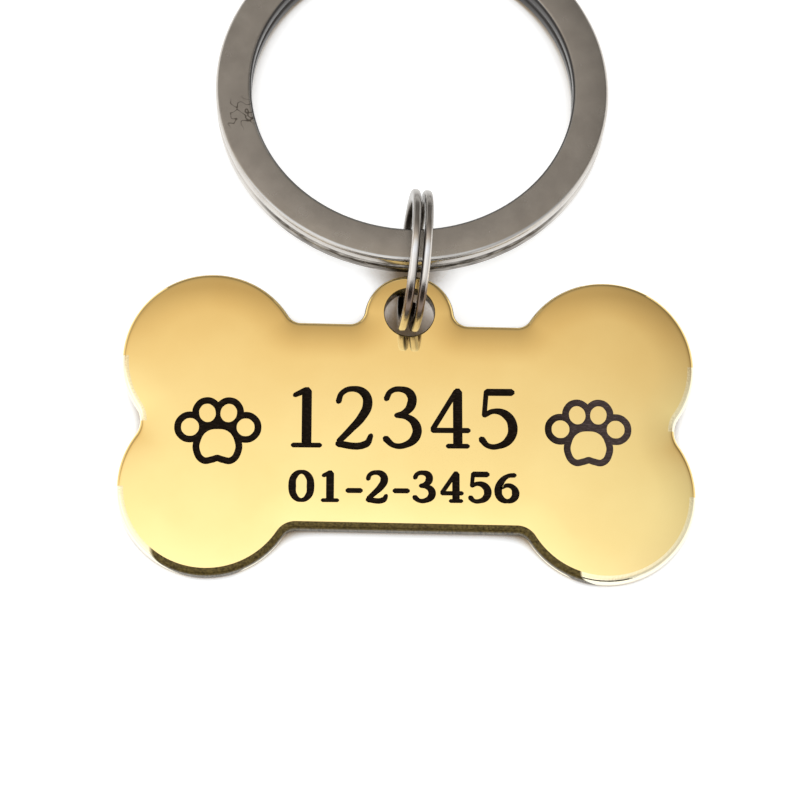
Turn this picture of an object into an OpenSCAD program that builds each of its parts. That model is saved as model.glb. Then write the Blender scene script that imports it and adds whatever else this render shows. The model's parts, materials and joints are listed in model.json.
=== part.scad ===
/* [Tag plate] */
// Width over the lobes
tag_w = 50; // [40:0.5:60]
// Height over the lobes
tag_h = 27; // [24:0.5:34]
// Thickness of the plate
tag_t = 1.8; // [1.2:0.1:2.2]
// Radius of each of the four lobes
lobe_r = 7.8; // [7:0.1:9]
// Height of the straight bar between the lobes
bar_h = 18.5; // [16:0.1:20]
// Radius of the rolled edge
edge_r = 0.4; // [0.2:0.05:0.55]
// Fillet where two lobes meet at each end
waist_fillet = 2.2; // [0.8:0.1:3]
// Fillet where the bar meets the lobes and the lug
bar_fillet = 1.3; // [0.6:0.1:2]

/* [Lug] */
// Outer radius of the lug
lug_r = 3.95; // [3.4:0.05:4.5]
// Height of the lug's centre above the bar's edge
lug_rise = 0.6; // [0.4:0.1:1.4]
// Radius of the hole in the lug
hole_r = 2.2; // [2:0.05:2.5]
// Width of the rim between the hole and the lug's top
rim_w = 1.25; // [1:0.05:1.5]
// Chamfer round both mouths of the hole
lip = 0.1; // [0.05:0.05:0.3]

/* [Small split ring] */
// Outer diameter of the small ring
small_d = 12.4; // [12:0.1:15]
// Width of its wire across the band, from bore to outside
small_band = 1.05; // [0.8:0.05:1.3]
// Thickness of one of its two turns
small_wire = 0.7; // [0.5:0.05:0.9]
// Gap between its turns
small_gap = 0.35; // [0.1:0.05:0.5]
// Radius of the edges of its wire
small_edge = 0.25; // [0.1:0.01:0.3]
// Angle in which its wire crosses from one turn to the other
small_cross = 44; // [30:1:60]

/* [Large split ring] */
// Outer diameter of the large ring
large_d = 35.5; // [28:0.5:45]
// Width of its wire across the band, from bore to outside
large_band = 3.2; // [2:0.1:3.4]
// Thickness of one of its two turns
large_wire = 1.25; // [0.8:0.05:1.4]
// Gap between its turns
large_gap = 0.15; // [0.1:0.05:0.4]
// Radius of the edges of its wire
large_edge = 0.35; // [0.1:0.02:0.38]
// Angle in which its wire crosses from one turn to the other
large_cross = 26; // [20:1:40]

/* [Resting place] */
// Clearance between the pieces that hang in the small ring
seat = 0.25; // [0.15:0.05:0.35]
// Angle of the lug's rim round the small ring, from straight down
rim_angle = 10.5; // [5:0.5:20]
// Angle of the large ring's band round the small ring, from straight down
band_angle = 38.5; // [34:0.5:45]
// Turn of the small ring about the upright
small_yaw = -3; // [-5:1:5]
// Sideways lean of the small ring
small_lean = 4.5; // [0:0.5:5]

/* [Hidden] */
// Turn between two points of the tag's outline
outline_step = 8;
// Steps in the rolled edge of the tag
edge_steps = 4;
// Steps in each rounded corner of a wire
corner_steps = 3;
// Turn between two sections of a swept wire
sweep_step = 6;
// Sides of a turned cut
bore_sides = 96;
// Angle left open between the crossing and each free end
open_angle = 1.5;
// Overrun of every cut
over = 0.5;

lobe_x = tag_w / 2 - lobe_r;
lobe_y = tag_h / 2 - lobe_r;
lug_y = bar_h / 2 + lug_rise;
hole_y = lug_y + lug_r - rim_w - hole_r;
rim_y = lug_y + lug_r - rim_w / 2;

// Farthest reach of a rounded box from its centre
function reach(w, h, r) = norm([w / 2 - r, h / 2 - r]) + r;
// Tilt at which a plate lies on a rounded edge, l away, with its middle lifted to z
function rest_tilt(z, l, h, r) = asin((z - r) / norm([l, h])) - atan2(h, l);

small_r = (small_d - small_band) / 2;
small_in = small_d / 2 - small_band;
small_w = 2 * small_wire + small_gap;
large_t = 2 * large_wire + large_gap;
// Height of the small ring's centre when it stands, with its lean, on one edge
small_z = small_edge + (small_d / 2 - small_edge) * cos(small_lean)
    + (small_w / 2 - small_edge) * sin(small_lean);
// Drop from the small ring's centre to the middle of the rim and of the band
rim_drop = small_in - seat - reach(rim_w, tag_t, edge_r);
band_drop = small_in - seat - reach(large_band, large_t, large_edge);
rim_z = small_z - rim_drop * cos(rim_angle);
band_z = small_z - band_drop * cos(band_angle);
tag_lever = rim_y + tag_h / 2 - edge_r;
tag_tilt = rest_tilt(rim_z, tag_lever, tag_t / 2 - edge_r, edge_r);
large_r = (large_d - large_band) / 2;
large_lever = large_d - large_band / 2 - large_edge;
large_tilt = rest_tilt(band_z, large_lever, large_t / 2 - large_edge, large_edge);

// Places along Y, first from the small ring's centre
rim_from_small = -rim_drop * sin(rim_angle);
band_from_small = band_drop * sin(band_angle);
near_y = rim_from_small - tag_lever * cos(tag_tilt) + (tag_t / 2 - edge_r) * sin(tag_tilt) - edge_r;
far_y = band_from_small + large_lever * cos(large_tilt) + large_edge
    + (large_t / 2 - large_edge) * sin(large_tilt);
small_y = -(near_y + far_y) / 2;
// The small ring leans about the rim that it hangs on
small_x = (small_z - rim_z) * tan(small_lean);

// Centres and turns of the fillets between the lobes, the bar and the lug
fillet_y = bar_h / 2 + bar_fillet;
lobe_fillet_x = lobe_x - sqrt((lobe_r + bar_fillet) ^ 2 - (fillet_y - lobe_y) ^ 2);
lug_fillet_x = sqrt((lug_r + bar_fillet) ^ 2 - (fillet_y - lug_y) ^ 2);
waist_x = lobe_x + sqrt((lobe_r + waist_fillet) ^ 2 - lobe_y ^ 2);
lobe_turn = atan2(fillet_y - lobe_y, lobe_fillet_x - lobe_x);
lug_turn = atan2(fillet_y - lug_y, lug_fillet_x);
waist_turn = atan2(lobe_y, waist_x - lobe_x);

// Points from which the flat faces are fanned: the upper right lobe, the lug, then the other lobes
hubs = [
    [lobe_x, lobe_y], [0, bar_h / 2 - lug_rise], [-lobe_x, lobe_y], [-lobe_x, -lobe_y], [lobe_x, -lobe_y]
];

// An arc of the outline is [centre, radius, first angle, last angle], and a hollow one's radius is negative
lobe_arc = [[lobe_x, lobe_y], lobe_r, -waist_turn, lobe_turn];
lobe_fillet_arc = [[lobe_fillet_x, fillet_y], -bar_fillet, 180 + lobe_turn, 270];
lug_fillet_arc = [[lug_fillet_x, fillet_y], -bar_fillet, 270, 180 + lug_turn];
lug_arc = [[0, lug_y], lug_r, lug_turn, 180 - lug_turn];
waist_arc = [[waist_x, 0], -waist_fillet, 180 + waist_turn, 180 - waist_turn];

function flip_x(arc) = [[-arc[0].x, arc[0].y], arc[1], 180 - arc[3], 180 - arc[2]];
function flip_y(arc) = [[arc[0].x, -arc[0].y], arc[1], -arc[3], -arc[2]];

// The outline, anticlockwise, as the arcs that each hub fans
hub_arcs = [
    [waist_arc, lobe_arc, lobe_fillet_arc],
    [lug_fillet_arc, lug_arc, flip_x(lug_fillet_arc)],
    [flip_x(lobe_fillet_arc), flip_x(lobe_arc)],
    [flip_x(waist_arc), flip_y(flip_x(lobe_arc)), flip_y(flip_x(lobe_fillet_arc))],
    [flip_y(lobe_fillet_arc), flip_y(lobe_arc)]
];

function arc_steps(arc) = ceil(abs(arc[3] - arc[2]) / outline_step);
// A full arc always runs between two hollow ones, which hold the points where they touch
function arc_range(arc) = arc[1] > 0 ? [1:arc_steps(arc) - 1] : [0:arc_steps(arc)];

function bone_outline(inset) = [
    for (arcs = hub_arcs, arc = arcs, i = arc_range(arc))
        let (a = arc[2] + (arc[3] - arc[2]) * i / arc_steps(arc))
        arc[0] + (abs(arc[1]) - sign(arc[1]) * inset) * [cos(a), sin(a)]
];

// The number of the hub that fans each point of the outline
outline_hubs = [
    for (h = [0:len(hubs) - 1], arc = hub_arcs[h], i = arc_range(arc)) h
];

// Triangles between the rings of a loft, each ring with the same number of points
function skin(rings, sides) = [
    for (i = [0:rings - 2], j = [0:sides - 1])
        let (k = (j + 1) % sides)
        for (f = [[i * sides + j, (i + 1) * sides + j, i * sides + k],
                  [i * sides + k, (i + 1) * sides + j, (i + 1) * sides + k]])
            f
];

// Triangles of a flat face of the tag, from its first ring point and first hub point
function face_fan(ring, hub) = concat(
    [for (j = [0:len(outline_hubs) - 1])
        let (k = (j + 1) % len(outline_hubs))
        [hub + outline_hubs[j], ring + j, ring + k]],
    [for (j = [0:len(outline_hubs) - 1])
        let (k = (j + 1) % len(outline_hubs))
        if (outline_hubs[j] != outline_hubs[k])
            [hub + outline_hubs[j], ring + k, hub + outline_hubs[k]]],
    [for (h = [1:len(hubs) - 2]) [hub, hub + h, hub + h + 1]]
);

function turned_over(faces) = [for (f = faces) [f[0], f[2], f[1]]];

module rolled_plate() {
    sides = len(outline_hubs);
    rings = 2 * (edge_steps + 1);
    // Inset and height of each ring, from the underside up to the straight wall, then on to the top
    under = [
        for (i = [0:edge_steps])
            let (a = 90 * i / edge_steps)
            [edge_r * (1 - sin(a)), edge_r * (1 - cos(a))]
    ];
    upper = [for (i = [edge_steps:-1:0]) [under[i].x, tag_t - under[i].y]];
    points = concat(
        [for (level = concat(under, upper), p = bone_outline(level.x)) [p.x, p.y, level.y]],
        [for (z = [0, tag_t], h = hubs) [h.x, h.y, z]]
    );
    faces = concat(
        face_fan(0, rings * sides),
        skin(rings, sides),
        turned_over(face_fan((rings - 1) * sides, rings * sides + len(hubs)))
    );
    polyhedron(points = points, faces = faces, convexity = 8);
}

module lug_hole() {
    translate([0, hole_y, 0]) {
        translate([0, 0, -over])
            cylinder(r = hole_r, h = tag_t + 2 * over, $fn = bore_sides);
        translate([0, 0, tag_t - lip])
            cylinder(r1 = hole_r, r2 = hole_r + lip + over, h = lip + over, $fn = bore_sides);
        translate([0, 0, -over])
            cylinder(r1 = hole_r + lip + over, r2 = hole_r, h = lip + over, $fn = bore_sides);
    }
}

module bone_tag() {
    color("gold")
        translate([0, small_y + rim_from_small, rim_z])
            rotate([tag_tilt, 0, 0])
                translate([0, -rim_y, -tag_t / 2])
                    difference() {
                        rolled_plate();
                        lug_hole();
                    }
}

// Corner points of a wire's section, as [along the axis, out from the middle]
function wire_section(w, t, r) = [
    for (quarter = [0:3], step = [0:corner_steps])
        let (a = 90 * (quarter + step / corner_steps),
             side = quarter == 0 || quarter == 3 ? 1 : -1,
             end = quarter < 2 ? 1 : -1)
        [side * (t / 2 - r) + r * cos(a), end * (w / 2 - r) + r * sin(a)]
];

// Place along the axis of a two-turn wire, which crosses over halfway round
function turn_offset(a, pitch, cross) =
    let (share = (a - 360) / cross)
    share <= -0.5 ? -pitch / 2 : share >= 0.5 ? pitch / 2 : sin(180 * share) * pitch / 2;

module split_ring(mean_r, band, turn, gap, edge, cross) {
    section = wire_section(band, turn, edge);
    sides = len(section);
    first = cross / 2 + open_angle;
    last = 720 - first;
    steps = ceil((last - first) / sweep_step);
    points = [
        for (i = [0:steps])
            let (a = first + (last - first) * i / steps)
            for (p = section)
                [(mean_r + p.y) * cos(a), (mean_r + p.y) * sin(a), turn_offset(a, turn + gap, cross) + p.x]
    ];
    start = [for (j = [0:sides - 1]) j];
    end = [for (j = [sides - 1:-1:0]) steps * sides + j];
    polyhedron(points = points, faces = concat([start], skin(steps + 1, sides), [end]), convexity = 6);
}

module small_split_ring() {
    color("silver")
        translate([small_x, small_y, small_z])
            rotate([0, small_lean, small_yaw])
                rotate([0, 90, 0])
                    split_ring(small_r, small_band, small_wire, small_gap, small_edge, small_cross);
}

module large_split_ring() {
    color("lightgray")
        translate([0, small_y + band_from_small, band_z])
            rotate([-large_tilt, 0, 0])
                translate([0, large_r, 0])
                    rotate([0, 0, 90])
                        split_ring(large_r, large_band, large_wire, large_gap, large_edge, large_cross);
}

bone_tag();
small_split_ring();
large_split_ring();

// The hinges' points, on axes along X, and the tilts of the plate and of the large ring
echo(rim_y = small_y + rim_from_small, rim_z = rim_z, tag_tilt = tag_tilt);
echo(band_y = small_y + band_from_small, band_z = band_z, large_tilt = large_tilt);
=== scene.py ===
"""A bone shaped pet id tag with its small split ring and its large split ring, as they lie on a table."""

import json
import math

import bpy
from mathutils import Matrix, Vector


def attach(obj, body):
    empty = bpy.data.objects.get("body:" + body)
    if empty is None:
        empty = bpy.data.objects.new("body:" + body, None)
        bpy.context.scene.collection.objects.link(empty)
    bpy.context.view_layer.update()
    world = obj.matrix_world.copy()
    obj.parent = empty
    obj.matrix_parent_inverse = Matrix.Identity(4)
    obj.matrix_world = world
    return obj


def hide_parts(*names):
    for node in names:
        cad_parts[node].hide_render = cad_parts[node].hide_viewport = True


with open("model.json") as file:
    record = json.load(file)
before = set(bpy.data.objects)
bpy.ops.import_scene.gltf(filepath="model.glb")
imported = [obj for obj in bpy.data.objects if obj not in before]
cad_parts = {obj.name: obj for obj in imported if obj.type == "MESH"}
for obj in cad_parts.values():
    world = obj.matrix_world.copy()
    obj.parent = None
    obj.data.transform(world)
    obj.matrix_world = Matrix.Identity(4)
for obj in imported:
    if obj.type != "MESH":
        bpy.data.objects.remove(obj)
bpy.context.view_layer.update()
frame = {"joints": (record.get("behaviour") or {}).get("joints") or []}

# Bone tag. A plate of gold-tone steel, stamped to a bone with a lug on its upper edge and polished on a
# soft wheel, which rounds its edges and lets its faces fall off slightly towards them. It is modelled
# flat, in millimetres, with the middle of its underside at the origin, and then laid in its place.
TAG_W, TAG_H, TAG_T = 50, 27, 1.8
LOBE_R = 7.8
BAR_H = 18.5
WAIST_FILLET, BAR_FILLET = 2.2, 1.3
LUG_R, LUG_RISE = 3.95, 0.6
HOLE_R, RIM_W, LIP = 2.2, 1.25, 0.14
EDGE_R, EDGE_STEPS = 0.4, 7
FALL_W, FALL_SLOPE, FALL_POWER, FALL_STEPS = 3.2, math.radians(3.3), 2.3, 16
FALL = FALL_W * math.tan(FALL_SLOPE) / FALL_POWER
OUTLINE_STEP = math.radians(3)
SEAM, WELD = 0.001, 0.0005
SMOOTH_ANGLE = math.radians(35)

lobe_x, lobe_y = TAG_W / 2 - LOBE_R, TAG_H / 2 - LOBE_R
lug_y = BAR_H / 2 + LUG_RISE
hole_y = lug_y + LUG_R - RIM_W - HOLE_R
rim_y = lug_y + LUG_R - RIM_W / 2
fillet_y = BAR_H / 2 + BAR_FILLET
lobe_fillet_x = lobe_x - math.sqrt((LOBE_R + BAR_FILLET) ** 2 - (fillet_y - lobe_y) ** 2)
lug_fillet_x = math.sqrt((LUG_R + BAR_FILLET) ** 2 - (fillet_y - lug_y) ** 2)
waist_x = lobe_x + math.sqrt((LOBE_R + WAIST_FILLET) ** 2 - lobe_y**2)
lobe_turn = math.atan2(fillet_y - lobe_y, lobe_x - lobe_fillet_x)
lug_turn = math.atan2(fillet_y - lug_y, lug_fillet_x)
waist_turn = math.atan2(lobe_y, waist_x - lobe_x)


def edit(chosen=None):
    """Opens the active mesh for editing, with the faces that chosen picks, or with all selected."""
    if chosen:
        mesh = bpy.context.object.data
        mesh.vertices.foreach_set("select", [False] * len(mesh.vertices))
        mesh.edges.foreach_set("select", [False] * len(mesh.edges))
        mesh.polygons.foreach_set("select", [chosen(face) for face in mesh.polygons])
        bpy.context.tool_settings.mesh_select_mode = (False, False, True)
        bpy.ops.object.mode_set(mode="EDIT")
    else:
        bpy.context.tool_settings.mesh_select_mode = (True, False, False)
        bpy.ops.object.mode_set(mode="EDIT")
        bpy.ops.mesh.select_all(action="SELECT")


def done():
    """Closes the active mesh and gives its object."""
    bpy.ops.object.mode_set(mode="OBJECT")
    return bpy.context.object


def turn_out():
    """Turns all the faces of the open mesh outwards."""
    bpy.ops.mesh.select_all(action="SELECT")
    bpy.ops.mesh.normals_make_consistent(inside=False)


def first_point(name, x, y):
    """A new mesh, open for editing, with one selected point."""
    bpy.ops.object.select_all(action="DESELECT")
    bpy.ops.mesh.primitive_plane_add(size=1)
    bpy.context.object.name = name
    edit()
    bpy.ops.mesh.merge(type="CENTER")
    bpy.ops.transform.translate(value=(x, y, 0))


def line_by(x, y, z=0):
    """Draws a straight line on from what is selected."""
    bpy.ops.mesh.extrude_region_move(TRANSFORM_OT_translate={"value": (x, y, z)})


def arc(centre, turn, step=OUTLINE_STEP, axis=(0, 0, 1)):
    """Draws an arc on from what is selected. The spin tool takes a positive angle as clockwise."""
    bpy.ops.mesh.spin(steps=math.ceil(abs(turn) / step), angle=-turn, center=centre, axis=axis)


def apply(kind, **settings):
    """Adds a modifier to the active object and applies it."""
    added = bpy.context.object.modifiers.new(kind.title(), kind)
    for key, value in settings.items():
        setattr(added, key, value)
    bpy.ops.object.modifier_apply(modifier=added.name)


def make_active(piece):
    """Selects one object alone."""
    bpy.ops.object.select_all(action="DESELECT")
    piece.select_set(True)
    bpy.context.view_layer.objects.active = piece


def combine(piece, tool, how):
    """Joins the tool to the piece, or cuts it out, and what it leaves keeps the tool's material."""
    make_active(piece)
    apply("BOOLEAN", operation=how, object=tool, solver="MANIFOLD", material_mode="TRANSFER")
    bpy.data.objects.remove(tool)


def flat_at(z):
    """Picks the flat faces that look along the thickness at a height."""
    return lambda face: abs(face.normal.z) > 0.9999 and abs(face.center.z - z) < 1e-4


def joint_at(name):
    """The place of a joint in the frame, in millimetres."""
    return 1000 * Vector(next(j for j in frame["joints"] if j["name"] == name)["pos_m"])


def rest_tilt(z, lever, half, edge):
    """The tilt of a plate that lies on a rounded edge, a lever away, with its middle lifted to z."""
    return math.asin((z - edge) / math.hypot(lever, half)) - math.atan2(half, lever)


def lay(piece, place, body, node):
    """Puts a piece that was modelled in millimetres into the frame, and joins it to its body."""
    make_active(piece)
    piece.matrix_world = Matrix.Scale(0.001, 4) @ place
    bpy.ops.object.transform_apply(location=True, rotation=True, scale=True)
    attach(piece, body)
    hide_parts(node)


def node(tree, kind, sockets=None, **settings):
    """Adds a shader node. Each socket named is set to a value or fed by another node's output."""
    added = tree.nodes.new("ShaderNode" + kind)
    for key, value in settings.items():
        setattr(added, key, value)
    for key, value in (sockets or {}).items():
        if isinstance(value, bpy.types.NodeSocket):
            tree.links.new(value, added.inputs[key])
        else:
            added.inputs[key].default_value = value
    return added


def noise(tree, where, scale=1, detail=3):
    """A cloudy pattern, as a number from 0 to 1."""
    return node(tree, "TexNoise", {"Vector": where, "Scale": scale, "Detail": detail}).outputs["Fac"]


def ranged(tree, value, low, high, to_low=0, to_high=1):
    """A number that runs from one end to the other as a value runs from low to high."""
    sockets = {"Value": value, "From Min": low, "From Max": high, "To Min": to_low, "To Max": to_high}
    return node(tree, "MapRange", sockets).outputs["Result"]


def maths(tree, how, first, second=0):
    """The result of one sum on one or two numbers."""
    return node(tree, "Math", {0: first, 1: second}, operation=how).outputs[0]


def blend(tree, share, first, second):
    """A colour between two, by a share from 0 to 1."""
    return node(tree, "Mix", {"Factor": share, "A": first, "B": second}, data_type="RGBA").outputs[2]


def stretched(tree, where, along, across, through):
    """A pattern's points, drawn out by another scale along each axis."""
    return node(tree, "Mapping", {"Vector": where, "Scale": (along, across, through)}).outputs[0]


def parts_of(tree, where):
    """The three numbers of a point, as outputs named X, Y and Z."""
    return node(tree, "SeparateXYZ", {0: where}).outputs


def millimetres(tree, place):
    """The points of a piece in the millimetres in which it was modelled, before it was laid."""
    back = place.inverted()
    own = node(tree, "TexCoord").outputs["Object"]
    return node(tree, "Mapping", {"Vector": own, "Scale": (1000, 1000, 1000), "Rotation": back.to_euler(),
                                  "Location": back.to_translation()}).outputs[0]


def new_material(name, **plain):
    """A material, its nodes and its shader, with the values that are the same all over."""
    made = bpy.data.materials.new(name)
    made.use_nodes = True
    shader = made.node_tree.nodes["Principled BSDF"]
    for key, value in plain.items():
        shader.inputs[key.replace("_", " ")].default_value = value
    return made, made.node_tree, shader


def relief(tree, shader, height, depth):
    """Raises and sinks the surface by a pattern, with its depth in metres."""
    bumped = node(tree, "Bump", {"Height": height, "Distance": depth})
    tree.links.new(bumped.outputs[0], shader.inputs["Normal"])


rim = joint_at("ring_on_lug")
tag_tilt = rest_tilt(rim.z, rim_y + TAG_H / 2 - EDGE_R, TAG_T / 2 - EDGE_R, EDGE_R)
tag_place = (Matrix.Translation(rim) @ Matrix.Rotation(tag_tilt, 4, "X")
             @ Matrix.Translation((0, -rim_y, -TAG_T / 2)))

# The gold tone has faint clouds of colour, hair lines from the wheel and a very slightly wavy surface
GOLD, DEEP_GOLD = (0.88, 0.655, 0.27, 1), (0.855, 0.62, 0.245, 1)
GOLD_ROUGHNESS = (0.03, 0.07)
CLOUD_SCALE, CLOUD_ENDS, CLOUD_SHARE = 0.16, (0.35, 0.7), 0.4
HAIR_ALONG, HAIR_ACROSS, HAIR_SHARE = 0.25, 14, 0.6
WEAR_ENDS = (0.35, 0.68)
WAVE_SCALE, WAVE_DEPTH = 0.11, 0.000009
gold, tree, shader = new_material("polished_gold_tone", Metallic=1)
spot = millimetres(tree, tag_place)
hairs = noise(tree, stretched(tree, spot, HAIR_ALONG, HAIR_ACROSS, HAIR_ACROSS))
clouds = noise(tree, spot, CLOUD_SCALE)
cloudy = ranged(tree, clouds, *CLOUD_ENDS)
tree.links.new(blend(tree, cloudy, GOLD, DEEP_GOLD), shader.inputs["Base Color"])
wear = maths(tree, "ADD", maths(tree, "MULTIPLY", hairs, HAIR_SHARE),
             maths(tree, "MULTIPLY", clouds, CLOUD_SHARE))
tree.links.new(ranged(tree, wear, *WEAR_ENDS, *GOLD_ROUGHNESS), shader.inputs["Roughness"])
relief(tree, shader, noise(tree, spot, WAVE_SCALE, detail=1), WAVE_DEPTH)

# The wall is a rough brown sheared edge, darkened further as a painted reflection of the dark front card,
# with a painted contact shadow at its foot. Round the outer ends it is painted pale, as a painted
# reflection of the white side cards, and there the brown runs out as a wedge under the upper face.
PAINTED_PALE_REFLECTION, BROWN_AND_PAINTED_DARK, STREAK_AND_SHADOW_DARK = (0.98, 0.93, 0.72, 1), (0.14, 0.1, 0.03, 1), (0.028, 0.018, 0.005, 1)
WALL_SHINE, BROWN_METALLIC, BROWN_ROUGHNESS = 0.1, 0.3, (0.12, 0.3)
PALE_REFLECTION_STARTS = (TAG_T - 0.03, TAG_T - 0.15)
LEFT_WEDGE, RIGHT_WEDGE = (-22, -18.2), (17, 14.8)
FLANK_START, FLANK_END, FLANK_PALE = (14.8, 13.8), (9.8, 10.8), 0.9
FOOT_SHADOW_SPAN, BORDER = (0.85, 0.6), 0.1
DRAG_ALONG, DRAG_DOWN, DRAG_ENDS, DRAG_DEPTH = 6, 0.8, (0.38, 0.72), 0.00001
MOST_OF_NOISE = (0.3, 0.7)
painted_reflection_wall, tree, shader = new_material("wall_with_painted_reflection", Specular_IOR_Level=WALL_SHINE)
spot = millimetres(tree, tag_place)
part = parts_of(tree, spot)
drag = noise(tree, stretched(tree, spot, DRAG_ALONG, DRAG_ALONG, DRAG_DOWN))
out = maths(tree, "ABSOLUTE", part["X"])
flank = maths(tree, "MULTIPLY", ranged(tree, out, *FLANK_START, 0, FLANK_PALE),
              ranged(tree, out, *FLANK_END))
wedge = maths(tree, "MAXIMUM", ranged(tree, part["X"], *LEFT_WEDGE, TAG_T, 0), flank)
brown = ranged(tree, maths(tree, "SUBTRACT", part["Z"], wedge), -BORDER, BORDER)
top = ranged(tree, part["X"], *RIGHT_WEDGE, -BORDER, TAG_T + BORDER)
under = ranged(tree, maths(tree, "SUBTRACT", part["Z"], top), BORDER, -BORDER)
brown = maths(tree, "MULTIPLY", brown, under)
# Painted contact shadow: the wall darkens towards its foot, on top of the darker drag streaks
painted_foot_shadow = ranged(tree, part["Z"], *FOOT_SHADOW_SPAN)
streaks_and_foot_shadow = maths(tree, "MAXIMUM", ranged(tree, drag, *DRAG_ENDS), painted_foot_shadow)
browns_with_shadow = blend(tree, streaks_and_foot_shadow, BROWN_AND_PAINTED_DARK, STREAK_AND_SHADOW_DARK)
# Painted reflection: below the upper face the wall turns pale where it is not brown
pale_reflection = blend(tree, ranged(tree, part["Z"], *PALE_REFLECTION_STARTS), GOLD, PAINTED_PALE_REFLECTION)
tree.links.new(blend(tree, brown, pale_reflection, browns_with_shadow), shader.inputs["Base Color"])
tree.links.new(ranged(tree, brown, 0, 1, 1, BROWN_METALLIC), shader.inputs["Metallic"])
rough = maths(tree, "MULTIPLY", ranged(tree, drag, *MOST_OF_NOISE, *BROWN_ROUGHNESS), brown)
tree.links.new(maths(tree, "ADD", rough, GOLD_ROUGHNESS[0]), shader.inputs["Roughness"])
relief(tree, shader, drag, DRAG_DEPTH)

# The right half of the outline is drawn from the middle of the lower edge up to the top of the lug
first_point("tag_plate", 0, -BAR_H / 2)
line_by(lobe_fillet_x, 0)
arc((lobe_fillet_x, -fillet_y, 0), lobe_turn - math.pi / 2)
arc((lobe_x, -lobe_y, 0), math.pi - lobe_turn + waist_turn)
arc((waist_x, 0, 0), -2 * waist_turn)
arc((lobe_x, lobe_y, 0), math.pi - lobe_turn + waist_turn)
arc((lobe_fillet_x, fillet_y, 0), lobe_turn - math.pi / 2)
line_by(lug_fillet_x - lobe_fillet_x, 0)
arc((lug_fillet_x, fillet_y, 0), lug_turn - math.pi / 2)
arc((0, lug_y, 0), math.pi / 2 - lug_turn)
tag = done()
apply("MIRROR", use_axis=(True, False, False), merge_threshold=SEAM)
edit()
bpy.ops.mesh.remove_doubles(threshold=WELD)
bpy.ops.mesh.edge_face_add()
bpy.ops.mesh.normals_make_consistent(inside=False)
wall_foot = EDGE_R + FALL
bpy.ops.transform.translate(value=(0, 0, wall_foot))
line_by(0, 0, TAG_T - 2 * wall_foot)
turn_out()
done()
for level in (wall_foot, TAG_T - wall_foot):
    edit(flat_at(level))
    for i in range(EDGE_STEPS):
        here, there = (math.pi / 2 * k / EDGE_STEPS for k in (i, i + 1))
        bpy.ops.mesh.inset(thickness=EDGE_R * (math.cos(here) - math.cos(there)),
                           depth=EDGE_R * (math.sin(there) - math.sin(here)))
    for i in range(FALL_STEPS):
        here, there = ((1 - k / FALL_STEPS) ** FALL_POWER for k in (i, i + 1))
        bpy.ops.mesh.inset(thickness=FALL_W / FALL_STEPS, depth=FALL * (here - there))
    done()

# The wall's painted reflection covers the faces that lean past a slope, and reaches farther in on the
# near side, which faces the dark front card
NEAR_SLOPE, FAR_SLOPE = 0.9986, 0.6
tag.data.materials.append(gold)
tag.data.materials.append(painted_reflection_wall)
edit(lambda face: abs(face.normal.z) < (NEAR_SLOPE if face.normal.y < 0 else FAR_SLOPE))
tag.active_material_index = 1
bpy.ops.object.material_slot_assign()
done()

# The hole's tool is a bobbin, wider at both mouths, so that the lips of the hole come out rounded
LIP_TURN, LIP_STEP = math.radians(80), math.radians(8)
first_point("hole_tool", HOLE_R, 0)
line_by(0, 0, TAG_T / 2 - LIP)
arc((HOLE_R + LIP, 0, TAG_T / 2 - LIP), LIP_TURN, LIP_STEP, (0, 1, 0))
line_by(LIP * math.sin(LIP_TURN), 0, LIP * math.cos(LIP_TURN))
line_by(0, 0, TAG_T)
line_by(-HOLE_R, 0)
bpy.ops.mesh.select_all(action="SELECT")
arc((0, 0, 0), 2 * math.pi)
bpy.ops.mesh.select_all(action="SELECT")
bpy.ops.mesh.remove_doubles(threshold=SEAM)
done()
apply("MIRROR", use_axis=(False, False, True), merge_threshold=SEAM)
edit()
bpy.ops.mesh.select_all(action="DESELECT")
bpy.ops.mesh.select_non_manifold()
bpy.ops.mesh.edge_face_add()
turn_out()
bpy.ops.transform.translate(value=(0, hole_y, TAG_T / 2))
hole_tool = done()
# The hole's wall takes the wall's painted reflection and painted foot shadow
hole_tool.data.materials.append(painted_reflection_wall)
combine(tag, hole_tool, "DIFFERENCE")
edit()
bpy.ops.mesh.quads_convert_to_tris(quad_method="BEAUTY", ngon_method="BEAUTY")
done()

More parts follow.
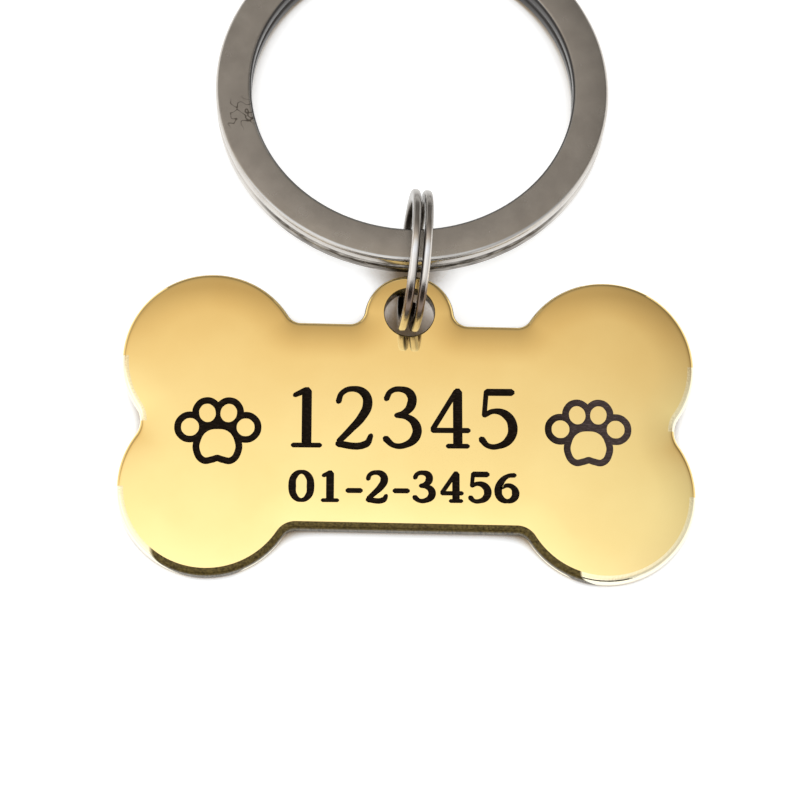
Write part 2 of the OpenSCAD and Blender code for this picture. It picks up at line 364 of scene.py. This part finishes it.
# Engraving. A laser has burnt two paw prints and two lines of plain numbers into the upper face, as
# shallow round bottomed grooves. Each groove is a tube along a drawn line, pressed flat and cut away.
# The points of a number's lines are (x, y, weight) on a grid six wide and ten high.
GRID_W, GRID_H = 6, 10
STROKES = {
    "0": [[(3, 9.65, 0), (4.75, 8.3, 0.7), (5.3, 5, 1), (4.75, 1.7, 0.7), (3, 0.35, 0), (1.25, 1.7, 0.7),
           (0.7, 5, 1), (1.25, 8.3, 0.7), (3, 9.65, 0)]],
    "1": [[(3.2, 0.8, 1), (3.2, 9.2, 1)], [(1.5, 8.5, 0), (3, 9.3, 0.3)],
          [(1.3, 0.35, 0), (5.1, 0.35, 0)]],
    "2": [[(0.9, 7.5, 0.2), (1.4, 8.9, 0.1), (3, 9.6, 0.2), (4.6, 8.8, 0.8), (5, 7.1, 1), (4.2, 5, 0.8),
           (2.6, 2.9, 0.4), (1, 1, 0.2)],
          [(0.9, 0.6, 0.4), (4.8, 0.6, 0.5), (5.5, 2, 0)]],
    "3": [[(0.9, 8, 0.2), (1.5, 9.2, 0.1), (2.9, 9.6, 0.2), (4.3, 8.8, 0.8), (4.4, 7, 0.9),
           (3.4, 5.7, 0.3), (2.3, 5.3, 0)],
          [(2.3, 5.3, 0), (3.9, 5, 0.3), (5.1, 3.6, 0.9), (5, 1.8, 0.9), (3.6, 0.5, 0.3), (2, 0.4, 0.1),
           (0.8, 1.5, 0.4)]],
    "4": [[(4, 9.3, 0.1), (0.7, 3.1, 0.1)], [(0.7, 2.9, 0.1), (5.7, 2.9, 0.1)],
          [(4.2, 9.2, 0.9), (4.2, 0.8, 0.9)], [(2.8, 0.35, 0), (5.6, 0.35, 0)]],
    "5": [[(1.6, 9.2, 0.5), (5.1, 9.2, 0.5)], [(1.5, 9.2, 0), (1.2, 5.4, 0)],
          [(1.2, 5.4, 0), (2.6, 6.1, 0.1), (4.4, 5.4, 0.8), (5.2, 3.5, 1), (4.7, 1.5, 0.8),
           (3.2, 0.4, 0.2), (1.7, 0.45, 0.1), (0.8, 1.5, 0.4)]],
    "6": [[(5, 9, 0.2), (3.3, 8.7, 0.1), (1.6, 6.8, 0.7), (0.8, 3.9, 1), (1.4, 1.4, 0.8), (3.1, 0.4, 0.1),
           (4.8, 1.4, 0.8), (5.2, 3.2, 1), (4.5, 5, 0.4), (3.1, 5.6, 0.1), (1.7, 4.9, 0)]],
    "-": [[(0.6, 3.6, 0.3), (3.9, 3.6, 0.3)]],
}
# Each row has its left end and its base, the height and width of its numbers, the steps on from a number
# and from a dash, and the half widths of its thin and its thick lines
ROWS = {
    "12345": {"left": -10.75, "base": -2.0, "height": 5.5, "width": 3.7,
              "step": 4.16, "dash_step": 3, "thin": 0.22, "thick": 0.43},
    "01-2-3456": {"left": -10.2, "base": -6.78, "height": 2.68, "width": 2.05,
                  "step": 2.4, "dash_step": 1.65, "thin": 0.18, "thick": 0.34},
}
GROOVE_FLATNESS, CURVE_STEPS, ROUND_STEPS = 0.36, 7, 4
TIP_REACH, TIP_HALF = 0.8, 0.4
PLUG_REACH = 1
# The engraving stands a little turned on the plate, as it was held in the jig
ENGRAVING_TURN = math.radians(0.8)
# The openings of the toes are (x, y, half width, half height, turn), and the line goes round them. One
# short line runs across the toes' feet, and one up between the middle toes.
PAW_LINE = 0.6
TOES = [(-2.4, 0.28, 0.77, 0.79, 0), (-0.92, 1.55, 0.71, 0.82, 0.15), (0.92, 1.55, 0.71, 0.82, -0.15),
        (2.4, 0.28, 0.77, 0.79, 0)]
PAD = [(0, 0.1), (0.95, -0.18), (1.46, -1), (1.5, -1.75), (1.08, -2.38), (0.5, -2.32), (0, -2.18)]
PAD_LINE = [(0, 0.4), (1.15, 0.08), (1.75, -0.9), (1.79, -1.85), (1.2, -2.68), (0.45, -2.61), (0, -2.48)]
ACROSS_TOES = [(-1.3, 0.35), (0, 0.78), (1.3, 0.35)]
BETWEEN_TOES, BETWEEN_SHARE = [(0, 0.8), (0, 1.9)], 0.7
PAWS = [(-16.45, -0.54), (15.65, -0.5)]

# The burn is black brown and matt, with paler streaks of oxide, and greyer towards the plate's right end
SOOT, OXIDE = (0.008, 0.0045, 0.002, 1), (0.03, 0.019, 0.012, 1)
GREY_BURN, PALE_GREY_BURN = (0.06, 0.042, 0.038, 1), (0.13, 0.095, 0.088, 1)
GREYING_ENDS = (11.5, 15)
BURN_SHINE, BURN_ROUGHNESS = 0.05, (0.35, 0.6)
STREAK_ALONG, STREAK_ACROSS, STREAK_ENDS = 2.2, 9, (0.5, 0.75)
GRAIN_SCALE, GRAIN_DEPTH = 16, 0.00001
burnt, tree, shader = new_material("burnt_engraving", Specular_IOR_Level=BURN_SHINE)
spot = millimetres(tree, tag_place)
streaks = noise(tree, stretched(tree, spot, STREAK_ALONG, STREAK_ACROSS, STREAK_ACROSS), detail=4)
streaky = ranged(tree, streaks, *STREAK_ENDS)
grain = noise(tree, spot, GRAIN_SCALE)
greying = ranged(tree, parts_of(tree, spot)["X"], *GREYING_ENDS)
burn = blend(tree, greying, blend(tree, streaky, SOOT, OXIDE), blend(tree, streaky, GREY_BURN, PALE_GREY_BURN))
tree.links.new(burn, shader.inputs["Base Color"])
tree.links.new(ranged(tree, grain, *MOST_OF_NOISE, *BURN_ROUGHNESS), shader.inputs["Roughness"])
relief(tree, shader, grain, GRAIN_DEPTH)


def drawn_curve(knots, z, closed):
    """A smooth curve at a height, through points of (x, y, half width)."""
    bpy.ops.object.select_all(action="DESELECT")
    bpy.ops.curve.primitive_bezier_curve_add()
    drawing = bpy.context.object.data
    drawing.splines.clear()
    drawing.resolution_u = CURVE_STEPS
    line = drawing.splines.new("BEZIER")
    line.use_cyclic_u = closed
    line.bezier_points.add(len(knots) - 1)
    for knot, (x, y, half) in zip(line.bezier_points, knots):
        knot.co = (x, y, z)
        knot.radius = half
        knot.handle_left_type = knot.handle_right_type = "AUTO"
    return drawing


def groove(points):
    """A flattened tube along points of (x, y, half width), which runs out round at its free ends."""
    closed = points[0] == points[-1]
    if closed:
        points = points[:-1]
    else:
        ends = []
        for (x, y, half), (x2, y2, _) in ((points[0], points[1]), (points[-1], points[-2])):
            away = TIP_REACH * half / math.hypot(x - x2, y - y2)
            ends.append((x + (x - x2) * away, y + (y - y2) * away, TIP_HALF * half))
        points = [ends[0], *points, ends[1]]
    drawing = drawn_curve(points, TAG_T, closed)
    drawing.bevel_resolution = ROUND_STEPS
    drawing.bevel_depth = 1
    drawing.use_fill_caps = True
    bpy.ops.object.convert(target="MESH")
    edit()
    bpy.ops.mesh.remove_doubles(threshold=WELD)
    bpy.ops.transform.resize(value=(1, 1, GROOVE_FLATNESS), center_override=(0, 0, TAG_T))
    bpy.ops.mesh.normals_make_consistent(inside=False)
    tube = done()
    tube.data.materials.clear()
    tube.data.materials.append(burnt)
    return tube


def plug(points):
    """A prism through the surface, inside a closed line."""
    drawn_curve([(x, y, 1) for x, y in points[:-1]], TAG_T - PLUG_REACH, True)
    bpy.ops.object.convert(target="MESH")
    edit()
    bpy.ops.mesh.edge_face_add()
    line_by(0, 0, 2 * PLUG_REACH)
    turn_out()
    prism = done()
    prism.data.materials.append(burnt)
    return prism


def join_grooves(lines):
    """The grooves of some lines as one tool."""
    tool = groove(lines[0])
    for points in lines[1:]:
        combine(tool, groove(points), "UNION")
    return tool


def engrave(tool):
    """Turns the tool to the engraving's angle and cuts it into the tag."""
    make_active(tool)
    edit()
    bpy.ops.transform.rotate(value=-ENGRAVING_TURN, orient_axis="Z", center_override=(0, 0, 0))
    done()
    combine(tag, tool, "DIFFERENCE")


def number_lines(text, left, base, height, width, step, dash_step, thin, thick):
    """The lines of a row of numbers, as points of (x, y, half width)."""
    lines, x = [], left
    for sign in text:
        for points in STROKES[sign]:
            lines.append([(x + px * width / GRID_W, base + py * height / GRID_H,
                           thin + (thick - thin) * weight) for px, py, weight in points])
        x += dash_step if sign == "-" else step
    return lines


def oval(x, y, half_w, half_h, turn, corners=8):
    """A closed line round an oval, which is turned to its left."""
    points = []
    cos, sin = math.cos(turn), math.sin(turn)
    for i in range(corners):
        a = 2 * math.pi * i / corners
        u, v = half_w * math.cos(a), half_h * math.sin(a)
        points.append((x + u * cos - v * sin, y + u * sin + v * cos))
    return [*points, points[0]]


def both_sides(half):
    """A closed line from its right half, which runs from the top round to the bottom."""
    return half + [(-x, y) for x, y in half[-2:0:-1]] + half[:1]


half = PAW_LINE / 2
rings = [oval(x, y, w + half, h + half, turn) for x, y, w, h, turn in TOES] + [both_sides(PAD_LINE)]
paw_lines = [[(x, y, half) for x, y in line] for line in [*rings, ACROSS_TOES]]
(x, y), (x2, y2) = BETWEEN_TOES
paw = join_grooves([*paw_lines, [(x, y, half), (x2, y2, BETWEEN_SHARE * half)]])
for opening in [oval(*toe) for toe in TOES] + [both_sides(PAD)]:
    combine(paw, plug(opening), "DIFFERENCE")
for x, y in PAWS:
    make_active(paw)
    bpy.ops.object.duplicate()
    print_tool = bpy.context.object
    edit()
    bpy.ops.transform.translate(value=(x, y, 0))
    done()
    engrave(print_tool)
bpy.data.objects.remove(paw)
for text, sizes in ROWS.items():
    engrave(join_grooves(number_lines(text, **sizes)))

# The brims of the grooves and of the hole are hard, so that the face shades evenly up to them
edit(lambda face: tag.data.materials[face.material_index] == burnt)
bpy.ops.mesh.region_to_loop()
bpy.ops.mesh.mark_sharp()
done()
edit(lambda face: (tag.data.materials[face.material_index] == painted_reflection_wall
                   and math.hypot(face.center.x, face.center.y - hole_y) < HOLE_R + RIM_W / 2))
bpy.ops.mesh.region_to_loop()
bpy.ops.mesh.mark_sharp()
done()
bpy.ops.object.shade_smooth_by_angle(angle=SMOOTH_ANGLE)
lay(tag, tag_place, "tag", "bone_tag")

# Small split ring. Two turns of flattened steel wire side by side, which cross over halfway. It stands
# on edge through the lug's hole and round the large ring.
SMALL_D, SMALL_BAND, SMALL_WIRE, SMALL_GAP, SMALL_EDGE = 12.4, 1.05, 0.7, 0.35, 0.25
SMALL_CROSS = math.radians(44)
SMALL_YAW, SMALL_LEAN = math.radians(-3), math.radians(4.5)
SEAT, RIM_ANGLE = 0.25, math.radians(10.5)
OPEN_TURN = math.radians(1.5)
WIRE_STEP, WIRE_EDGE_STEPS = math.radians(2.5), 6
CUT_BEVEL = 0.1


def split_ring(name, mean_r, band, wire, gap, edge, cross):
    """A wire of rounded rectangular section, spun round Z in two turns, with a smooth step between."""
    pitch = wire + gap
    first_point(name, mean_r - band / 2, 0)
    bpy.ops.transform.translate(value=(0, 0, -(pitch + wire) / 2))
    line_by(band, 0)
    bpy.ops.mesh.select_all(action="SELECT")
    line_by(0, 0, wire)
    bpy.ops.mesh.select_all(action="SELECT")
    bpy.ops.mesh.bevel(offset=edge, segments=WIRE_EDGE_STEPS, affect="VERTICES")
    bpy.ops.mesh.delete(type="ONLY_FACE")
    bpy.ops.mesh.select_all(action="SELECT")
    turn = 2 * math.pi - cross - OPEN_TURN
    arc((0, 0, 0), turn, WIRE_STEP)
    steps = math.ceil(cross / WIRE_STEP)
    for i in range(steps):
        rise = [math.sin(math.pi * (k / steps - 0.5)) for k in (i, i + 1)]
        arc((0, 0, 0), cross / steps, cross / steps)
        bpy.ops.transform.translate(value=(0, 0, pitch / 2 * (rise[1] - rise[0])))
    arc((0, 0, 0), turn, WIRE_STEP)
    for _ in range(2):
        bpy.ops.mesh.edge_face_add()
        bpy.ops.mesh.inset(thickness=CUT_BEVEL, depth=CUT_BEVEL)
        bpy.ops.mesh.select_all(action="DESELECT")
        bpy.ops.mesh.select_non_manifold()
    turn_out()
    bpy.ops.transform.rotate(value=-(cross / 2 + OPEN_TURN), orient_axis="Z", center_override=(0, 0, 0))
    ring = done()
    bpy.ops.object.shade_smooth_by_angle(angle=SMOOTH_ANGLE)
    return ring


def reach(w, h, r):
    """The farthest reach of a rounded rectangle from its centre."""
    return math.hypot(w / 2 - r, h / 2 - r) + r


# Painted shade and grime reach from the bore into the wire and from the gap up the turns, by these shares
# of the wire
SHADE_AND_GRIME_REACH = (0.3, 0.12)
STEEL_CLOUDS, CLOUD_SPAN, DULL_SPAN = 0.5, (0.2, 0.8), (0.6, 1.4)


def drawn_steel(name, place, sizes, bright, dull, shade_and_grime, gap_shade_ends, roughness, line_scale, line_depth):
    """Steel with fine lines along a ring's wire, darkened in its bore and between its turns by painted
    shade and grime.
    The painted shade between the turns ends at two places across the ring, as shares of its radius."""
    made, tree, shader = new_material(name, Metallic=1)
    bore, wire, gap = sizes
    spot = millimetres(tree, place)
    x, y, z = parts_of(tree, spot)
    flat = node(tree, "CombineXYZ", {"X": x, "Y": y}).outputs[0]
    radius = node(tree, "VectorMath", {0: flat}, operation="LENGTH").outputs["Value"]
    lines = noise(tree, node(tree, "CombineXYZ", {"X": radius, "Y": z}).outputs[0], line_scale)
    clouds = noise(tree, spot, STEEL_CLOUDS)
    steel = blend(tree, ranged(tree, maths(tree, "ADD", lines, clouds), *DULL_SPAN), bright, dull)
    high = maths(tree, "ABSOLUTE", z)
    between = ranged(tree, high, *(gap / 2 + wire * share for share in SHADE_AND_GRIME_REACH))
    uncrossed = ranged(tree, maths(tree, "DIVIDE", x, radius), *gap_shade_ends)
    inside = ranged(tree, radius, *(bore + wire * share for share in SHADE_AND_GRIME_REACH))
    shaded_and_grimy = maths(tree, "MAXIMUM", maths(tree, "MULTIPLY", between, uncrossed), inside)
    colour = blend(tree, shaded_and_grimy, steel, shade_and_grime)
    tree.links.new(colour, shader.inputs["Base Color"])
    tree.links.new(ranged(tree, clouds, *CLOUD_SPAN, *roughness), shader.inputs["Roughness"])
    relief(tree, shader, lines, line_depth)
    return made, tree, shader, spot, colour


small_w = 2 * SMALL_WIRE + SMALL_GAP
small_z = (SMALL_EDGE + (SMALL_D / 2 - SMALL_EDGE) * math.cos(SMALL_LEAN)
           + (small_w / 2 - SMALL_EDGE) * math.sin(SMALL_LEAN))
rim_drop = SMALL_D / 2 - SMALL_BAND - SEAT - reach(RIM_W, TAG_T, EDGE_R)
small_place = (Matrix.Translation(((small_z - rim.z) * math.tan(SMALL_LEAN),
                                   rim.y + rim_drop * math.sin(RIM_ANGLE), small_z))
               @ Matrix.Rotation(SMALL_YAW, 4, "Z") @ Matrix.Rotation(SMALL_LEAN + math.pi / 2, 4, "Y"))
small_ring = split_ring("small_ring_wire", (SMALL_D - SMALL_BAND) / 2, SMALL_BAND, SMALL_WIRE, SMALL_GAP,
                        SMALL_EDGE, SMALL_CROSS)
# Painted shade darkens its bore and the gap between its turns, away from where they cross
bright_steel, tree, shader, spot, steel = drawn_steel(
    "bright_steel", small_place, (SMALL_D / 2 - SMALL_BAND, SMALL_WIRE, SMALL_GAP),
    bright=(0.72, 0.685, 0.645, 1), dull=(0.6, 0.565, 0.53, 1), shade_and_grime=(0.05, 0.04, 0.032, 1),
    gap_shade_ends=(0.9, 0.75), roughness=(0.18, 0.3), line_scale=18, line_depth=0.000003)
# It is painted duller on the side of the large ring, as painted shade, and painted brown in a band above
# the lug, as a painted dark reflection, so that it stays bright over its top between them.
PAINTED_SHADE_STEEL, PAINTED_BROWN_REFLECTION = (0.34, 0.32, 0.295, 1), (0.2, 0.15, 0.12, 1)
DULL_ENDS, BAND_START, BAND_END, NEAR_SIDE = (-0.2, 1.2), (-4.9, -4.2), (-1.6, -2.4), (-2, -3)
part = parts_of(tree, spot)
steel = blend(tree, ranged(tree, part["Y"], *DULL_ENDS), steel, PAINTED_SHADE_STEEL)
painted_brown_band = maths(tree, "MULTIPLY", ranged(tree, part["X"], *BAND_START),
                ranged(tree, part["X"], *BAND_END))
painted_brown_band = maths(tree, "MULTIPLY", painted_brown_band, ranged(tree, part["Y"], *NEAR_SIDE))
tree.links.new(blend(tree, painted_brown_band, steel, PAINTED_BROWN_REFLECTION), shader.inputs["Base Color"])
small_ring.data.materials.append(bright_steel)
lay(small_ring, small_place, "small_ring", "small_split_ring")

# Large split ring. Two turns of broad flat steel wire on top of each other. Its near band hangs in the
# small ring, and its far side lies on the table.
LARGE_D, LARGE_BAND, LARGE_WIRE, LARGE_GAP, LARGE_EDGE = 35.5, 3.2, 1.25, 0.15, 0.35
LARGE_CROSS = math.radians(26)
band = joint_at("large_ring_in_small")
large_r = (LARGE_D - LARGE_BAND) / 2
large_t = 2 * LARGE_WIRE + LARGE_GAP
large_tilt = rest_tilt(band.z, LARGE_D - LARGE_BAND / 2 - LARGE_EDGE, large_t / 2 - LARGE_EDGE,
                       LARGE_EDGE)
large_ring = split_ring("large_ring_wire", large_r, LARGE_BAND, LARGE_WIRE, LARGE_GAP, LARGE_EDGE,
                        LARGE_CROSS)
large_place = (Matrix.Translation(band) @ Matrix.Rotation(-large_tilt, 4, "X")
               @ Matrix.Translation((0, large_r, 0)) @ Matrix.Rotation(math.pi / 2, 4, "Z"))
# Painted shade darkens its bore, and the gap between its turns on the near side
satin_steel, tree, shader, spot, steel = drawn_steel(
    "satin_steel", large_place, (large_r - LARGE_BAND / 2, LARGE_WIRE, LARGE_GAP),
    bright=(0.64, 0.61, 0.57, 1), dull=(0.52, 0.49, 0.455, 1), shade_and_grime=(0.05, 0.047, 0.045, 1),
    gap_shade_ends=(-0.6, -0.75), roughness=(0.2, 0.3), line_scale=9, line_depth=0.000004)
# Its flat faces are duller than its rolled edges, with curled scratches in a scuff on one side. The lower
# turn is painted dark, with paler patches, on the near side, as a painted dark reflection.
FACE_STEEL, FACE_STREAK = (0.53, 0.51, 0.475, 1), (0.45, 0.43, 0.4, 1)
FACE_ENDS, FACE_ALONG, FACE_THROUGH = (large_t / 2 - 0.07, large_t / 2 - 0.02), 0.5, 4
SCUFFED, SCUFF_SPOT, SCUFF_REACH = (0.16, 0.145, 0.125, 1), (-3.4, 15.4, large_t / 2), (1.9, 1.2)
CURL_SCALE, CURL_LEVEL, SCRATCH_WIDTH = 0.8, 0.5, (0.02, 0.006)
PAINTED_DARK_REFLECTION, PALE_PAINTED_REFLECTION = (0.12, 0.105, 0.09, 1), (0.4, 0.37, 0.33, 1)
PAINTED_REFLECTION_ENDS, LOWER_TURN = (-12, -14), (0, -0.1)
PATCH_ALONG, PATCH_THROUGH, PATCH_ENDS = 0.8, 5, (0.4, 0.65)
part = parts_of(tree, spot)
flat = ranged(tree, maths(tree, "ABSOLUTE", part["Z"]), *FACE_ENDS)
streaks = noise(tree, stretched(tree, spot, FACE_ALONG, FACE_ALONG, FACE_THROUGH), detail=4)
face = blend(tree, ranged(tree, streaks, *MOST_OF_NOISE), FACE_STEEL, FACE_STREAK)
away = node(tree, "VectorMath", {0: spot, 1: SCUFF_SPOT}, operation="DISTANCE").outputs["Value"]
curls = maths(tree, "SUBTRACT", noise(tree, spot, CURL_SCALE, detail=1), CURL_LEVEL)
scratches = ranged(tree, maths(tree, "ABSOLUTE", curls), *SCRATCH_WIDTH)
scuffs = maths(tree, "MULTIPLY", ranged(tree, away, *SCUFF_REACH), scratches)
steel = blend(tree, flat, steel, blend(tree, scuffs, face, SCUFFED))
painted_dark_below = maths(tree, "MULTIPLY", ranged(tree, part["X"], *PAINTED_REFLECTION_ENDS),
              ranged(tree, part["Z"], *LOWER_TURN))
patches = noise(tree, stretched(tree, spot, PATCH_ALONG, PATCH_ALONG, PATCH_THROUGH))
patchy = ranged(tree, patches, *PATCH_ENDS)
steel = blend(tree, painted_dark_below, steel, blend(tree, patchy, PAINTED_DARK_REFLECTION, PALE_PAINTED_REFLECTION))
tree.links.new(steel, shader.inputs["Base Color"])
large_ring.data.materials.append(satin_steel)
lay(large_ring, large_place, "large_ring", "large_split_ring")

# Table and studio. A plain white sheet fills the view and takes the object's soft shadow. Its lift for
# the camera and for reflections keeps it white, and leaves out what lies in a tight shadow. A soft panel
# hangs over the table, bright in front and dim behind, with a grey card behind and a dark one in front.
TABLE_SIZE = 4
PAPER, PAPER_GREY, PAPER_GRAIN = (0.62, 0.62, 0.61, 1), (0.6, 0.6, 0.59, 1), 900
SHADED_PAPER, SHADED_CLEAR, SHADOW_REACH = (0.5, 0.38, 0.25, 1), (0.4, 0.52), 0.004
PAPER_LIFT, LIFT_CLEAR = 0.74, (0.35, 0.6)
bpy.ops.object.select_all(action="DESELECT")
bpy.ops.mesh.primitive_plane_add(size=TABLE_SIZE)
table = bpy.context.object
table.name = "table"
paper, tree, shader = new_material("white_paper", Roughness=1, Specular_IOR_Level=0)
spot = node(tree, "TexCoord").outputs["Object"]
clear = node(tree, "AmbientOcclusion", {"Distance": SHADOW_REACH}).outputs["AO"]
sheet = blend(tree, noise(tree, spot, PAPER_GRAIN, detail=2), PAPER, PAPER_GREY)
# Painted shadow: in a tight shadow the paper's own colour turns a warm dark brown, as painted warm light
# from the gold
sheet = blend(tree, ranged(tree, clear, *SHADED_CLEAR), SHADED_PAPER, sheet)
tree.links.new(sheet, shader.inputs["Base Color"])
ray = node(tree, "LightPath").outputs
seen = maths(tree, "ADD", maths(tree, "ADD", ray["Is Camera Ray"], ray["Is Glossy Ray"]),
             ray["Is Transmission Ray"])
lift = maths(tree, "MULTIPLY", ranged(tree, clear, *LIFT_CLEAR, 0, PAPER_LIFT), seen)
shader.inputs["Emission Color"].default_value = (1, 1, 1, 1)
tree.links.new(lift, shader.inputs["Emission Strength"])
table.data.materials.append(paper)


def card(name, size, place, turn, colour=(1, 1, 1, 1)):
    """A card of one colour that only lights and reflects, with the nodes of its light."""
    bpy.ops.object.select_all(action="DESELECT")
    bpy.ops.mesh.primitive_plane_add(size=1, location=place, rotation=turn)
    made = bpy.context.object
    made.name = name
    made.scale = (*size, 1)
    glow = bpy.data.materials.new(name + "_light")
    glow.use_nodes = True
    tree = glow.node_tree
    tree.nodes.clear()
    emission = node(tree, "Emission", {"Color": colour})
    node(tree, "OutputMaterial", {"Surface": emission.outputs[0]})
    made.data.materials.append(glow)
    made.visible_camera = False
    return tree, emission


def graded(tree, axis, length, stops):
    """A ramp along a card, from stops of (place along its own axis, colour)."""
    first, last = stops[0][0], stops[-1][0]
    along = parts_of(tree, node(tree, "TexCoord").outputs["Object"])[axis]
    ramp = node(tree, "ValToRGB", {"Fac": ranged(tree, along, first / length, last / length)})
    for where, _ in stops[1:-1]:
        ramp.color_ramp.elements.new((where - first) / (last - first))
    for stop, (_, colour) in zip(ramp.color_ramp.elements, stops):
        stop.color = (*colour, 1)
    return ramp.outputs[0]


PANEL_LEVELS = [(-0.45, (1.25, 1.22, 1.18)), (-0.06, (1.35, 1.38, 1.42)), (-0.02, (1.45, 1.55, 1.75)),
                (0.02, (1.3, 1.38, 1.45)), (0.035, (1.2, 1.26, 1.3)), (0.05, (1.1, 1.1, 1.1)),
                (0.06, (1.03, 0.97, 0.89)), (0.075, (0.89, 0.79, 0.67)), (0.1, (0.64, 0.55, 0.44)),
                (0.17, (0.53, 0.48, 0.44)), (0.22, (0.42, 0.38, 0.34)), (0.45, (0.4, 0.37, 0.34))]
PANEL_ACROSS = [(-0.45, 1.05), (-0.05, 1.04), (0, 1), (0.02, 0.98), (0.035, 0.95), (0.05, 0.89),
                (0.065, 0.8), (0.13, 0.54), (0.45, 0.54)]
BACK_LEVELS = [(-0.15, (0.16, 0.15, 0.14)), (0.15, (0.34, 0.32, 0.3))]
DARK_CARD, WHITE_CARD = (0.06, 0.055, 0.05, 1), (1.1, 1.08, 1.05, 1)
PANEL_SIZE, PANEL_HEIGHT = 0.9, 0.3
BACK_W, FRONT_W = 0.5, 0.46
REACH, HALF_UP, UPRIGHT = PANEL_SIZE / 2, PANEL_HEIGHT / 2, math.pi / 2
tree, emission = card("soft_panel", (PANEL_SIZE, PANEL_SIZE), (0, 0, PANEL_HEIGHT), (0, 0, 0))
tree.links.new(graded(tree, "Y", PANEL_SIZE, PANEL_LEVELS), emission.inputs["Color"])
across = [(where, (level, level, level)) for where, level in PANEL_ACROSS]
tree.links.new(graded(tree, "X", PANEL_SIZE, across), emission.inputs["Strength"])
tree, emission = card("back_card", (BACK_W, PANEL_HEIGHT), (0, REACH, HALF_UP), (UPRIGHT, 0, 0))
tree.links.new(graded(tree, "Y", PANEL_HEIGHT, BACK_LEVELS), emission.inputs["Color"])
card("front_card", (FRONT_W, PANEL_HEIGHT), (0, -REACH, HALF_UP), (UPRIGHT, 0, 0), DARK_CARD)
for side in (-1, 1):
    card("side_card", (PANEL_SIZE, PANEL_HEIGHT), (REACH * side, 0, HALF_UP), (UPRIGHT, 0, UPRIGHT),
         WHITE_CARD)

world = bpy.data.worlds.new("studio")
bpy.context.scene.world = world
world.use_nodes = True
background = world.node_tree.nodes["Background"]
background.inputs["Color"].default_value = (1, 1, 1, 1)
background.inputs["Strength"].default_value = 1

# Camera. It looks down on the tag from a little to the left, as in the photograph.
AZIMUTH, ELEVATION, ROLL = math.radians(4), math.radians(71.04), math.radians(5)
DISTANCE, TARGET = 0.22013, Vector((-0.000658, -0.014927, 0))
LENS, SENSOR_W, NEAREST = 112.5, 36, 0.01
ahead = Vector((math.sin(AZIMUTH) * math.cos(ELEVATION), math.cos(AZIMUTH) * math.cos(ELEVATION),
                -math.sin(ELEVATION)))
turn = Matrix.Rotation(-ROLL, 4, ahead)
right = turn @ Vector((math.cos(AZIMUTH), -math.sin(AZIMUTH), 0))
up = right.cross(ahead)
stand = TARGET - DISTANCE * ahead
bpy.ops.object.camera_add()
camera = bpy.context.object
camera.data.lens = LENS
camera.data.sensor_width = SENSOR_W
camera.data.clip_start = NEAREST
camera.matrix_world = Matrix((
    (right.x, up.x, -ahead.x, stand.x), (right.y, up.y, -ahead.y, stand.y),
    (right.z, up.z, -ahead.z, stand.z), (0, 0, 0, 1)))
bpy.context.scene.camera = camera
bpy.context.scene.view_settings.view_transform = "Standard"
